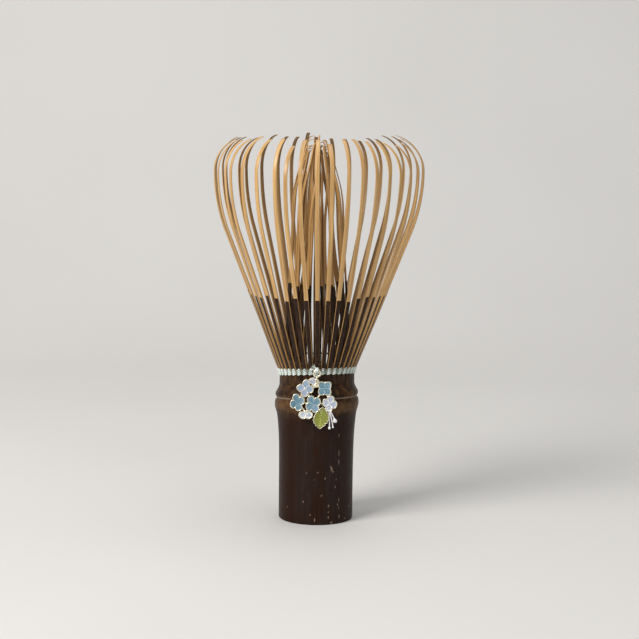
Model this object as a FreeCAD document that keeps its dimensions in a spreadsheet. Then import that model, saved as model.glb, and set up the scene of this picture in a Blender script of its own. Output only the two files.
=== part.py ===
import FreeCAD, Part
import math
import os

import Sketcher
from FreeCAD import Placement, Rotation, Vector

# Bamboo tea whisk with a hydrangea charm, in millimetres.
# The origin is the middle of the handle's foot, +Z runs up the handle, and the charm hangs at the front, -Y.

DIMENSIONS = {
    # Handle: a section of culm, hollow below its node
    "foot_radius": 11.2,
    "foot_face_radius": 10.9,
    "foot_chamfer": 0.3,
    "grip_top": 18.0,
    "swell_start_radius": 11.5,
    "swell_start_height": 28.5,
    "lower_ridge_radius": 12.55,
    "lower_ridge_bottom": 34.6,
    "lower_ridge_top": 36.3,
    "groove_radius": 12.1,
    "groove_height": 37.1,
    "upper_ridge_radius": 12.35,
    "upper_ridge_bottom": 37.7,
    "upper_ridge_top": 38.7,
    "swell_bend": 14.0,
    "lower_ridge_bend": 1.5,
    "upper_ridge_bend": 1.0,
    "waist_bend": 4.5,
    "bore_radius": 7.3,
    "bore_depth": 33.0,
    "septum_top": 35.0,
    "cup_radius": 9.8,
    "cup_floor_radius": 8.8,
    # Tines: split from the culm wall above the node
    "tine_count": 40,
    "slit_height": 41.0,
    "root_radius": 11.25,
    "tine_width": 1.22,
    "root_rise": 2.0,
    "flare_bend": 7.0,
    "flare_angle": 21.5,
    "flare_length": 43.8,
    "shoulder_bend": 50.0,
    "curl_bend": 11.0,
    "curl_angle": 70.0,
    "root_thickness": 1.1,
    "flare_thickness": 0.75,
    "straight_thickness": 0.55,
    "shoulder_thickness": 0.38,
    "tip_thickness": 0.25,
    # Inner tines: the narrow splints from between the outer ones, gathered towards the axis
    "inner_root_radius": 10.9,
    "inner_width": 0.36,
    "inner_rise": 3.0,
    "gather_bend": 12.0,
    "gather_angle": 14.0,
    "release_bend": 24.0,
    "release_angle": 12.0,
    "bundle_length": 42.0,
    "crown_bend": 36.0,
    "crown_angle": 15.0,
    "crown_length": 11.3,
    "inner_root_thickness": 1.0,
    "inner_mid_thickness": 0.7,
    "inner_tip_thickness": 0.3,
    # Threads
    "thread_radius": 0.27,
    "binding_radius": 12.02,
    "binding_bottom": 44.13,
    "binding_turns": 4,
    "binding_pitch": 0.48,
    "separator_radius": 10.75,
    "separator_height": 48.5,
    "knot_radius": 0.45,
    "knot_front": 12.72,
    "knot_height": 46.85,
    "tuft_radius": 0.22,
    "tuft_length": 1.65,
    "tie_radius": 0.68,
    "tie_set_back": 0.2,
    "tie_thread_radius": 0.16,
    # Rings that carry the charm, hanging in front of the binding
    "hang_front": 13.85,
    "ring_radius": 1.05,
    "ring_wire": 0.25,
    "ring_height": 46.3,
    "link_radius": 0.8,
    "link_wire": 0.18,
    "link_height": 44.95,
    "eye_radius": 0.5,
    "eye_wire": 0.17,
    "eye_height": 44.04,
    # Charm casting and its enamel
    "charm_back": 12.95,
    "charm_thickness": 1.05,
    "enamel_depth": 0.45,
    "petal_offset": 1.15,
    "petal_radius": 1.12,
    "enamel_radius": 0.76,
    "bar_width": 0.55,
    "bar_thickness": 0.5,
    "bar_recess": 0.38,
    "leaf_x": 1.55,
    "leaf_z": 33.05,
    "leaf_half_width": 2.3,
    "leaf_half_length": 3.3,
    "leaf_enamel_half_width": 1.9,
    "leaf_enamel_half_length": 2.85,
    "stem_radius": 0.17,
}

# Each flower's middle (x, z), the turn of its first petal in degrees, and the petals that show.
FLOWERS = {
    "a": (-3.35, 41.70, -8.0, (0, 1, 2, 3)),
    "b": (-0.80, 42.50, 31.0, (1,)),
    "c": (2.12, 41.30, 42.0, (0, 1, 2, 3)),
    "d": (-5.30, 37.20, 17.0, (0, 1, 2, 3)),
    "e": (-0.80, 36.90, 28.0, (0, 1, 2, 3)),
    "f": (3.80, 37.10, -12.0, (0, 1, 2, 3)),
    "g": (-3.20, 34.20, 46.0, (2, 3)),
}
PETAL_STEP = 90.0
# Gold bars behind the flowers, from one flower's middle to another's.
BARS = ("ab", "bc", "ae", "ad", "ce", "cf", "ef", "de", "dg", "eg")
# Each bud's foot and tip (x, z) and the radius of its bulb.
BUDS = {
    "bud_1": ((4.45, 34.95), (5.78, 32.10), 0.60),
    "bud_2": ((3.95, 34.90), (4.10, 29.95), 0.42),
    "bud_3": ((4.20, 34.90), (5.20, 30.25), 0.30),
}
# How far each frayed thread end leans from upright, to the right where positive.
TUFT_LEANS = (-62.0, -38.0)
FULL_TURN = 360.0
FRONT = -90.0
DOWN_THE_FRONT = Rotation(Vector(1, 0, 0), 90)

doc = FreeCAD.newDocument("tea_whisk")
dims = doc.addObject("Spreadsheet::Sheet", "dims")
for row, (alias, value) in enumerate(DIMENSIONS.items(), start=1):
    dims.set(f"A{row}", alias)
    dims.set(f"B{row}", str(value))
    dims.setAlias(f"B{row}", alias)
doc.recompute()


def size(expression):
    """The value of an expression in the sheet's terms."""
    return float(dims.evalExpression(expression))


def bind(thing, **expressions):
    """Bind properties of an object to expressions in the sheet's terms."""
    for name, expression in expressions.items():
        thing.setExpression(name, expression)
    return thing


def label(thing, name):
    """Give an object the name of its sub-part."""
    thing.Label = name
    return thing


def body_with_sketch(name):
    """A body with an empty sketch on its own XZ plane: sketch x is the radius, sketch y the height."""
    body = label(doc.addObject("PartDesign::Body", name), name)
    sketch = body.newObject("Sketcher::SketchObject", f"{name}_outline")
    plane = [item for item in body.Origin.OriginFeatures if item.Role == "XZ_Plane"][0]
    sketch.AttachmentSupport = [(plane, "")]
    sketch.MapMode = "FlatFace"
    return body, sketch


def arc_between(start, end, bend):
    """The shorter arc of radius |bend| from start to end, turning left where bend is positive."""
    side = math.copysign(1.0, bend)
    chord = end - start
    to_middle = math.sqrt(bend * bend - chord.Length ** 2 / 4)
    left = Vector(-chord.y, chord.x, 0).normalize()
    centre = (start + end) * 0.5 + left * (side * to_middle)
    first, last = (start, end) if side > 0 else (end, start)
    angles = [math.atan2(point.y - centre.y, point.x - centre.x) for point in (first, last)]
    if angles[1] < angles[0]:
        angles[1] += 2 * math.pi
    return Part.ArcOfCircle(Part.Circle(centre, Vector(0, 0, 1), abs(bend)), *angles)


def outline(sketch, corners, bends):
    """Draw a closed outline and bind every size in it to the sheet.

    corners are (x, y) expressions. bends gives the edges that are arcs: the edge's number, and its
    radius as (+1 to turn left or -1 to turn right, expression).
    """
    points = [Vector(size(x), size(y), 0) for x, y in corners]
    ends = []
    for number, start in enumerate(points):
        end = points[(number + 1) % len(points)]
        if number in bends:
            side, radius = bends[number]
            edge = sketch.addGeometry(arc_between(start, end, side * size(radius)))
            ends.append((edge, 1, 2) if side > 0 else (edge, 2, 1))
            held = sketch.addConstraint(Sketcher.Constraint("Radius", edge, size(radius)))
            sketch.setExpression(f"Constraints[{held}]", radius)
        else:
            edge = sketch.addGeometry(Part.LineSegment(start, end))
            ends.append((edge, 1, 2))
    for number, (edge, first, _) in enumerate(ends):
        previous, _, last = ends[number - 1]
        sketch.addConstraint(Sketcher.Constraint("Coincident", previous, last, edge, first))
        for kind, axis, value, expression in (
                ("DistanceX", -2, points[number].x, corners[number][0]),
                ("DistanceY", -1, points[number].y, corners[number][1])):
            if expression == "0":
                sketch.addConstraint(Sketcher.Constraint("PointOnObject", edge, first, axis))
                continue
            held = sketch.addConstraint(Sketcher.Constraint(kind, -1, 1, edge, first, value))
            sketch.setExpression(f"Constraints[{held}]", expression)


def named(*pairs):
    """Corner expressions from pairs of sheet names or the number 0."""
    return [tuple("0" if item == 0 else f"dims.{item}" for item in pair) for pair in pairs]


def handle():
    """The culm section: foot, grip, the node's two ridges, the waist, and the closed node inside."""
    body, sketch = body_with_sketch("handle")
    corners = named(
        ("bore_radius", 0),
        ("foot_face_radius", 0),
        ("foot_radius", "foot_chamfer"),
        ("foot_radius", "grip_top"),
        ("swell_start_radius", "swell_start_height"),
        ("lower_ridge_radius", "lower_ridge_bottom"),
        ("lower_ridge_radius", "lower_ridge_top"),
        ("groove_radius", "groove_height"),
        ("upper_ridge_radius", "upper_ridge_bottom"),
        ("upper_ridge_radius", "upper_ridge_top"),
        ("root_radius", "slit_height"),
        ("cup_radius", "slit_height"),
        ("cup_floor_radius", "septum_top"),
        (0, "septum_top"),
        (0, "bore_depth"),
        ("bore_radius", "bore_depth"),
    )
    bends = {
        4: (-1, "dims.swell_bend"),
        5: (1, "dims.lower_ridge_bend"),
        8: (1, "dims.upper_ridge_bend"),
        9: (-1, "dims.waist_bend"),
    }
    outline(sketch, corners, bends)
    turned = body.newObject("PartDesign::Revolution", "handle_turned")
    turned.Profile = sketch
    turned.ReferenceAxis = (sketch, ["V_Axis"])
    turned.Angle = FULL_TURN
    return body


def blade(name, root_radius, stretches, thicknesses, width):
    """A splint of bamboo standing in the XZ plane, as a pad of its side outline.

    The skin side is followed upwards from its root through stretches: ("rise", length), ("out", radius,
    angle) or ("in", radius, angle). thicknesses are square to the skin at the stretches' ends, root first.
    """
    radius, height, lean = f"dims.{root_radius}", "dims.slit_height", "0"
    skin = [(radius, height, lean)]
    bends = {}
    for number, (kind, *sizes) in enumerate(stretches):
        if kind == "rise":
            length = f"dims.{sizes[0]}"
            radius += f" + {length} * sin({lean})"
            height += f" + {length} * cos({lean})"
        else:
            bend, turn = (f"dims.{item}" for item in sizes)
            sign = "+" if kind == "out" else "-"
            turned = f"{lean} {sign} {turn}"
            radius += f" {sign} {bend} * (cos({lean}) - cos({turned}))"
            height += f" {sign} {bend} * (sin({turned}) - sin({lean}))"
            lean = turned
            middle = f"(dims.{thicknesses[number]} + dims.{thicknesses[number + 1]}) / 2"
            bends[number] = (-1 if kind == "out" else 1, bend)
            back = 2 * len(stretches) - number
            bends[back] = (1 if kind == "out" else -1, f"{bend} {sign} {middle}")
        skin.append((radius, height, lean))
    corners = [(radius, height) for radius, height, _ in skin]
    for (radius, height, lean), thickness in reversed(list(zip(skin, thicknesses))):
        corners.append((f"{radius} - dims.{thickness} * cos({lean})",
                        f"{height} + dims.{thickness} * sin({lean})"))
    body, sketch = body_with_sketch(name)
    outline(sketch, corners, bends)
    pad = body.newObject("PartDesign::Pad", f"{name}_pad")
    pad.Profile = sketch
    pad.SideType = "Symmetric"
    bind(pad, Length=f"dims.{width}")
    return body, pad


def outer_tine(name, azimuth):
    """One wide splint that flares out from the root and curls in at the tip."""
    stretches = (
        ("rise", "root_rise"),
        ("out", "flare_bend", "flare_angle"),
        ("rise", "flare_length"),
        ("in", "shoulder_bend", "flare_angle"),
        ("in", "curl_bend", "curl_angle"),
    )
    thicknesses = ("root_thickness", "root_thickness", "flare_thickness", "straight_thickness",
                   "shoulder_thickness", "tip_thickness")
    body, _ = blade(name, "root_radius", stretches, thicknesses, "tine_width")
    body.Placement = Placement(Vector(), Rotation(Vector(0, 0, 1), azimuth))
    return body


def inner_tines():
    """All the narrow splints between the outer ones, gathered inwards and closing at the crown."""
    stretches = (
        ("rise", "inner_rise"),
        ("in", "gather_bend", "gather_angle"),
        ("out", "release_bend", "release_angle"),
        ("rise", "bundle_length"),
        ("in", "crown_bend", "crown_angle"),
        ("rise", "crown_length"),
    )
    thicknesses = ("inner_root_thickness", "inner_root_thickness", "inner_root_thickness",
                   "inner_mid_thickness", "inner_mid_thickness", "inner_tip_thickness", "inner_tip_thickness")
    body, pad = blade("inner_tines", "inner_root_radius", stretches, thicknesses, "inner_width")
    ring = body.newObject("PartDesign::PolarPattern", "inner_tines_round")
    ring.Originals = [pad]
    ring.Axis = ([item for item in body.Origin.OriginFeatures if item.Role == "Z_Axis"][0], [""])
    ring.Angle = FULL_TURN
    bind(ring, Occurrences="dims.tine_count")
    body.Tip = ring
    half_step = FULL_TURN / DIMENSIONS["tine_count"] / 2
    body.Placement = Placement(Vector(), Rotation(Vector(0, 0, 1), FRONT + half_step))
    return body


def torus(name, radius, wire, place):
    """A ring of round wire, both sizes bound to the sheet."""
    ring = bind(doc.addObject("Part::Torus", name), Radius1=f"dims.{radius}", Radius2=f"dims.{wire}")
    ring.Placement = place
    return label(ring, name)


def fuse(name, parts):
    """One solid from several that overlap."""
    joined = doc.addObject("Part::MultiFuse", name)
    joined.Shapes = parts
    return label(joined, name)


def binding_thread():
    """The courses of thread round the outer tines, pulled tight against each other into one band."""
    courses = []
    for course in range(DIMENSIONS["binding_turns"]):
        height = size(f"dims.binding_bottom + {course} * dims.binding_pitch")
        courses.append(torus(f"binding_course_{course}", "binding_radius", "thread_radius",
                             Placement(Vector(0, 0, height), Rotation())))
    return fuse("binding_thread", courses)


def separator_thread():
    """The hidden course of thread between the outer and the inner tines."""
    place = Placement(Vector(0, 0, size("dims.separator_height")), Rotation())
    return torus("separator_thread", "separator_radius", "thread_radius", place)


def along(start, end):
    """The placement that takes a solid standing on its own origin to the line from start to end."""
    return Placement(start, Rotation(Vector(0, 0, 1), end - start))


def rod(name, radius, start, end):
    """A round bar from start to end."""
    bar = bind(doc.addObject("Part::Cylinder", name), Radius=f"dims.{radius}")
    bar.Height = (end - start).Length
    bar.Placement = along(start, end)
    return bar


def thread_knot():
    """The knot at the front with its two tufts, and the loop that the charm's ring hangs in."""
    front = -size("dims.knot_front")
    middle = Vector(0, front, size("dims.knot_height"))
    knot = bind(doc.addObject("Part::Sphere", "knot_ball"), Radius="dims.knot_radius")
    knot.Placement = Placement(middle, Rotation())
    with_the_tines = Rotation(Vector(1, 0, 0), size("dims.flare_angle"))
    tufts = []
    for number, lean in enumerate(TUFT_LEANS):
        reach = with_the_tines.multVec(Vector(math.sin(math.radians(lean)), 0, math.cos(math.radians(lean))))
        tip = middle + reach * size("dims.knot_radius + dims.tuft_length")
        tufts.append(rod(f"tuft_{number}", "tuft_radius", middle, tip))
    ring_top = size("dims.ring_height + dims.ring_radius")
    tie_middle = Vector(0, size("dims.tie_set_back - dims.hang_front"), ring_top)
    tie = torus("tie_loop", "tie_radius", "tie_thread_radius",
                Placement(tie_middle, Rotation(Vector(0, 1, 0), 90)))
    return fuse("thread_knot", [knot, tie] + tufts)


def hanging_rings():
    """The face-on ring in the thread loop and the edge-on link below it."""
    front = -size("dims.hang_front")
    ring = torus("charm_ring", "ring_radius", "ring_wire",
                 Placement(Vector(0, front, size("dims.ring_height")), DOWN_THE_FRONT))
    link = torus("charm_link", "link_radius", "link_wire",
                 Placement(Vector(0, front, size("dims.link_height")), Rotation(Vector(0, 1, 0), 90)))
    return [ring, link]


def disc(name, radius, thickness, x, back, z):
    """A round disc in the charm's plane, from back towards the front."""
    plate = bind(doc.addObject("Part::Cylinder", name), Radius=radius, Height=thickness)
    plate.Placement = Placement(Vector(x, -back, z), DOWN_THE_FRONT)
    return plate


def petal_middles(flower):
    """The middles (x, z) of a flower's petals."""
    x, z, turn, petals = FLOWERS[flower]
    offset = size("dims.petal_offset")
    angles = [math.radians(turn + PETAL_STEP * petal) for petal in petals]
    return [(x + offset * math.cos(angle), z + offset * math.sin(angle)) for angle in angles]


def leaf_blank(name, half_width, half_length, thickness, back):
    """A pointed leaf: what two round discs have in common."""
    wide, long = f"dims.{half_width}", f"dims.{half_length}"
    radius = f"({long} ^ 2 + {wide} ^ 2) / (2 * {wide})"
    shift = size(f"{radius} - {wide}")
    x, z = size("dims.leaf_x"), size("dims.leaf_z")
    sides = [disc(f"{name}_side_{number}", radius, thickness, x + side * shift, back, z)
             for number, side in enumerate((-1, 1))]
    leaf = doc.addObject("Part::MultiCommon", name)
    leaf.Shapes = sides
    return label(leaf, name)


def enamel_fills(suffix=""):
    """The enamel of every flower and of the leaf, in their own nodes."""
    depth = "dims.enamel_depth"
    floor = size("dims.charm_back + dims.charm_thickness - dims.enamel_depth")
    fills = []
    for flower in FLOWERS:
        name = f"enamel_flower_{flower}{suffix}"
        discs = [disc(f"{name}_petal_{number}", "dims.enamel_radius", depth, x, floor, z)
                 for number, (x, z) in enumerate(petal_middles(flower))]
        if len(discs) == 1:
            fills.append(label(discs[0], name))
        else:
            fills.append(fuse(name, discs))
    fills.append(leaf_blank(f"enamel_leaf{suffix}", "leaf_enamel_half_width", "leaf_enamel_half_length",
                            depth, floor))
    return fills


def bar(name, start, end):
    """A flat bar between two points (x, z), a little in front of the charm's back."""
    plank = bind(doc.addObject("Part::Box", name), Width="dims.bar_width", Height="dims.bar_thickness")
    run = Vector(end[0] - start[0], end[1] - start[1], 0)
    plank.Length = run.Length
    turn = Rotation(Vector(0, 0, 1), math.degrees(math.atan2(run.y, run.x)))
    to_edge = turn.multVec(Vector(0, -size("dims.bar_width") / 2, 0))
    corner = Vector(start[0] + to_edge.x, -size("dims.charm_back + dims.bar_recess"), start[1] + to_edge.y)
    plank.Placement = Placement(corner, DOWN_THE_FRONT * turn)
    return plank


def charm_frame():
    """The gold casting: petal rims, bars behind them, leaf rim and hanging eye, with wells for the enamel."""
    back = size("dims.charm_back")
    parts = []
    for flower in FLOWERS:
        for number, (x, z) in enumerate(petal_middles(flower)):
            rim = disc(f"rim_{flower}_{number}", "dims.petal_radius", "dims.charm_thickness", x, back, z)
            parts.append(rim)
    parts.append(leaf_blank("leaf_rim", "leaf_half_width", "leaf_half_length", "dims.charm_thickness", back))
    parts += [bar(f"bar_{pair}", FLOWERS[pair[0]][:2], FLOWERS[pair[1]][:2]) for pair in BARS]
    leaf_middle = (size("dims.leaf_x"), size("dims.leaf_z"))
    parts += [bar(f"bar_leaf_{flower}", FLOWERS[flower][:2], leaf_middle) for flower in "ef"]
    eye_foot = (0, size("dims.eye_height - dims.eye_radius"))
    parts += [bar(f"bar_eye_{flower}", eye_foot, FLOWERS[flower][:2]) for flower in "bc"]
    eye_middle = Vector(0, -size("dims.hang_front"), size("dims.eye_height"))
    parts.append(torus("charm_eye", "eye_radius", "eye_wire", Placement(eye_middle, DOWN_THE_FRONT)))
    casting = doc.addObject("Part::Cut", "casting")
    casting.Base = fuse("charm_blank", parts)
    casting.Tool = fuse("charm_wells", enamel_fills("_well"))
    return label(casting, "charm_frame")


def bud(name, foot, tip, bulb_radius):
    """A white bud: a thin stem with a round bulb at its tip."""
    front = -size("dims.charm_back + dims.charm_thickness / 2")
    start = Vector(foot[0], front, foot[1])
    end = Vector(tip[0], front, tip[1])
    bulb = doc.addObject("Part::Sphere", f"{name}_bulb")
    bulb.Radius = bulb_radius
    bulb.Placement = Placement(end, Rotation())
    return fuse(name, [rod(f"{name}_stem", "stem_radius", start, end), bulb])


nodes = [handle()]
for tine in range(DIMENSIONS["tine_count"]):
    tine_azimuth = FRONT + tine * FULL_TURN / DIMENSIONS["tine_count"]
    nodes.append(outer_tine(f"outer_tine_{tine + 1:02d}", tine_azimuth))
nodes.append(inner_tines())
nodes.append(binding_thread())
nodes.append(separator_thread())
nodes.append(thread_knot())
nodes += hanging_rings()
nodes.append(charm_frame())
nodes += enamel_fills()
nodes += [bud(name, *sizes) for name, sizes in BUDS.items()]
doc.recompute()

for thing in doc.Objects:
    if "Invalid" in thing.State or "Error" in thing.State:
        raise RuntimeError(f"{thing.Label} failed: {thing.State}")
for node in nodes:
    if node.Shape.isNull() or not node.Shape.isValid():
        raise RuntimeError(f"{node.Label} has no valid shape")

os.makedirs("parts", exist_ok=True)
for node in nodes:
    node.Shape.exportStep(f"parts/{node.Label}.step")
    print(f"{node.Label}: {len(node.Shape.Solids)} solid(s), {node.Shape.Volume:.2f} mm3")
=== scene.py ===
import math
import random
from collections import namedtuple

import bpy
from mathutils import Matrix, Vector, noise


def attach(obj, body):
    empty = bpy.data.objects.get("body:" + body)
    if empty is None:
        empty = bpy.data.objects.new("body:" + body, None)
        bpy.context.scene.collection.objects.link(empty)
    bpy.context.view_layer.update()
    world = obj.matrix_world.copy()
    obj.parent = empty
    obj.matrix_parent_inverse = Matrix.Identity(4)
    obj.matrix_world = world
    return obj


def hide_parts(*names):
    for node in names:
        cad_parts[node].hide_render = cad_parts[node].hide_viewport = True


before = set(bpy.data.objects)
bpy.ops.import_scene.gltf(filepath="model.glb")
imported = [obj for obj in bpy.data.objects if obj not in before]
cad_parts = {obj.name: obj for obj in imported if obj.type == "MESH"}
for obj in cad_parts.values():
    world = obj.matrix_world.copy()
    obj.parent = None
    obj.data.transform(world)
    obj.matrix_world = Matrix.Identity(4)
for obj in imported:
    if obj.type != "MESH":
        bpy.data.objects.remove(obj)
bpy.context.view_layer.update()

# Bamboo tea whisk with a hydrangea charm. Lengths are in millimetres until a mesh is made.
MM = 0.001
# The CAD model's outer tines, and the angle from one to the next.
TINES = sorted(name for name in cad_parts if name.startswith("outer_tine_"))
STEP_ANGLE = math.tau / len(TINES)
FRONT = -math.pi / 2

# Splints. Their stretches run up the skin side from the slits' foot: ("rise", length) is straight, and
# ("out", radius, degrees) and ("in", radius, degrees) are arcs. Thicknesses are at the stretches' ends,
# root first.
SLIT_HEIGHT = 41.0
ROOT_RADIUS = 11.25
TINE_WIDTH = 1.26
ROOT_RISE = 2.0
FLARE_BEND = 7.0
FLARE_ANGLE = 21.5
OUTER_STRETCHES = (("rise", ROOT_RISE), ("out", FLARE_BEND, FLARE_ANGLE), ("rise", 43.8),
                   ("in", 50.0, FLARE_ANGLE), ("in", 11.0, 70.0))
OUTER_THICKNESSES = (1.1, 1.05, 0.70, 0.55, 0.36, 0.20)
INNER_ROOT_RADIUS = 10.9
# An inner tine's hooked tip is one more stretch, which differs from tine to tine.
INNER_STRETCHES = (("rise", 3.0), ("in", 12.0, 14.0), ("out", 24.0, 12.0), ("rise", 42.0), ("in", 36.0, 15.0),
                   ("rise", 8.6))
INNER_THICKNESSES = (1.0, 1.0, 1.0, 0.7, 0.6, 0.35, 0.3, 0.2)
# How far up a splint its dark skin goes. Below the next length the close-set tines get painted shade all
# round, in the skin's dark colour.
SKIN_LENGTH = 29.3
ROOT_SHADE_LENGTH = 3.3

# The culm's node and the binding stand a little higher at the front, and to the right: the rise per
# millimetre in x and y. The node's tilt fades in between its first two heights, and out between the others.
NODE_TILT = (0.030, -0.085)
NODE_TILT_HEIGHTS = (17.0, 31.0, 45.0, 62.0)
BINDING_TILT = (0.010, -0.050)

# Binding thread, its strands of two plies, and how far and over what height it draws the tines in.
BINDING_MIDDLE = 44.85
BINDING_TURNS = 4
PINCH_DEPTH = 0.16
PINCH_HEIGHT = 1.1
STRAND_PITCH = 0.50
PLY_RADIUS = 0.13
PLY_OFFSET = 0.115
PLY_TWIST = 0.95
# The share of the way round that a strand covers: it stops just short of its own start.
STRAND_SHARE = 0.9985
SEPARATOR_HEIGHTS = (48.35, 48.65)
SEPARATOR_RADIUS = 10.75

# How far in front of the axis (y) the ring, the link and the charm's eye hang.
HANG_FRONT = -13.85


# ---- mesh helpers

class Shape:
    """Points and faces gathered from several simple forms, with a material slot per face.

    grain is each point's place in its splint or culm, and tone a shade, both for the materials to read.
    """

    def __init__(self):
        self.points = []
        self.faces = []
        self.slots = []
        self.grain = []
        self.tone = []

    def add(self, points, faces, slot=0, grain=None, tone=None):
        base = len(self.points)
        self.points += points
        self.faces += [tuple(base + index for index in face) for face in faces]
        self.slots += [slot] * len(faces) if isinstance(slot, int) else slot
        self.grain += grain or [(0.0, 0.0, 0.0)] * len(points)
        self.tone += tone if isinstance(tone, list) else [tone or 0.0] * len(points)

    def piece(self, name, materials):
        """A smooth mesh object in metres, with grain and tone as its attributes."""
        mesh = bpy.data.meshes.new(name)
        mesh.from_pydata([Vector(point) * MM for point in self.points], [], self.faces)
        for material in materials:
            mesh.materials.append(material)
        mesh.polygons.foreach_set("material_index", self.slots)
        mesh.polygons.foreach_set("use_smooth", [True] * len(self.faces))
        grain = mesh.attributes.new("grain", "FLOAT_VECTOR", "POINT")
        grain.data.foreach_set("vector", [value for place in self.grain for value in place])
        tone = mesh.attributes.new("tone", "FLOAT", "POINT")
        tone.data.foreach_set("value", self.tone)
        mesh.update()
        piece = bpy.data.objects.new(name, mesh)
        bpy.context.scene.collection.objects.link(piece)
        return piece

    def settle(self, name, materials, body, node):
        """Make the piece, which rides on a body and stands for a CAD node."""
        piece = self.piece(name, materials)
        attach(piece, body)
        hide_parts(node)


def between(low, high, size):
    """Quads between two closed rings of size points, which start at low and at high."""
    afters = [(step + 1) % size for step in range(size)]
    return [(low + step, low + after, high + after, high + step) for step, after in enumerate(afters)]


def skin_rings(rings, size, closed_path=False):
    """Quads between closed rings of size points, and a cap at each end of an open path."""
    faces = []
    for ring in range(rings if closed_path else rings - 1):
        faces += between(ring * size, (ring + 1) % rings * size, size)
    if not closed_path:
        faces.append(tuple(reversed(range(size))))
        faces.append(tuple(range((rings - 1) * size, rings * size)))
    return faces


def walk(path, closed=False):
    """Each point of a path with two directions square to the path, which twist as little as they can."""
    count = len(path)
    normal = None
    for index, point in enumerate(path):
        before = path[index - 1] if closed or index else path[0]
        after = path[(index + 1) % count] if closed or index < count - 1 else path[-1]
        heading = (after - before).normalized()
        if normal is None:
            normal = heading.orthogonal().normalized()
        normal = (normal - heading * normal.dot(heading)).normalized()
        yield point, normal, heading.cross(normal)


def tube(path, radius, sides, closed=False, taper=None):
    """Points and faces of a round tube along a path. taper gives each point's share of the radius."""
    path = [Vector(point) for point in path]
    points = []
    for index, (point, normal, across) in enumerate(walk(path, closed)):
        reach = radius * (taper[index] if taper else 1.0)
        for side in range(sides):
            angle = math.tau * side / sides
            aside, up = reach * math.cos(angle), reach * math.sin(angle)
            points.append(tuple(point + normal * aside + across * up))
    return points, skin_rings(len(path), sides, closed)


def sphere(middle, radius, rings=8, sides=12):
    """Points and faces of a ball, closed at its poles."""
    middle = Vector(middle)
    points = [tuple(middle - Vector((0, 0, radius)))]
    for ring in range(1, rings):
        polar = math.pi * ring / rings
        out = math.sin(polar)
        for side in range(sides):
            angle = math.tau * side / sides
            offset = Vector((out * math.cos(angle), out * math.sin(angle), -math.cos(polar)))
            points.append(tuple(middle + offset * radius))
    points.append(tuple(middle + Vector((0, 0, radius))))
    faces = [(0, 1 + (side + 1) % sides, 1 + side) for side in range(sides)]
    for ring in range(rings - 2):
        faces += between(1 + ring * sides, 1 + (ring + 1) * sides, sides)
    top, last = len(points) - 1, 1 + (rings - 2) * sides
    faces += [(top, last + side, last + (side + 1) % sides) for side in range(sides)]
    return points, faces


def smoothstep(low, high, value):
    """0 below low, 1 above high, and a smooth rise between."""
    share = min(max((value - low) / (high - low), 0.0), 1.0)
    return share * share * (3 - 2 * share)


def mix(first, second, share):
    """The value at a share of the way from first to second."""
    return first + (second - first) * share


def angle_apart(first, second):
    """The size of the angle between two directions, at most half a turn."""
    return abs((first - second + math.pi) % math.tau - math.pi)


def over_tine(angle):
    """1 over the middle of an outer tine, 0 halfway to the next, and smooth between."""
    return 0.5 + 0.5 * math.cos(len(TINES) * (angle - FRONT))


def node_lift(x, y, height):
    """How far the tilt of the culm's node raises a point. It fades out down the grip and up the tines."""
    low, full, last, high = NODE_TILT_HEIGHTS
    here = smoothstep(low, full, height) * (1 - smoothstep(last, high, height))
    return (NODE_TILT[0] * x + NODE_TILT[1] * y) * here


def pinch(height):
    """How far the binding draws the tines in at a height."""
    return PINCH_DEPTH * math.exp(-((height - BINDING_MIDDLE) / PINCH_HEIGHT) ** 2)


def skin_radius(height):
    """The radius of the tines' skin near their roots."""
    over = min(max(height - SLIT_HEIGHT - ROOT_RISE, 0.0), FLARE_BEND * math.sin(math.radians(FLARE_ANGLE)))
    return ROOT_RADIUS + FLARE_BEND - math.sqrt(FLARE_BEND ** 2 - over ** 2) - pinch(height)


# ---- materials

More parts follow.
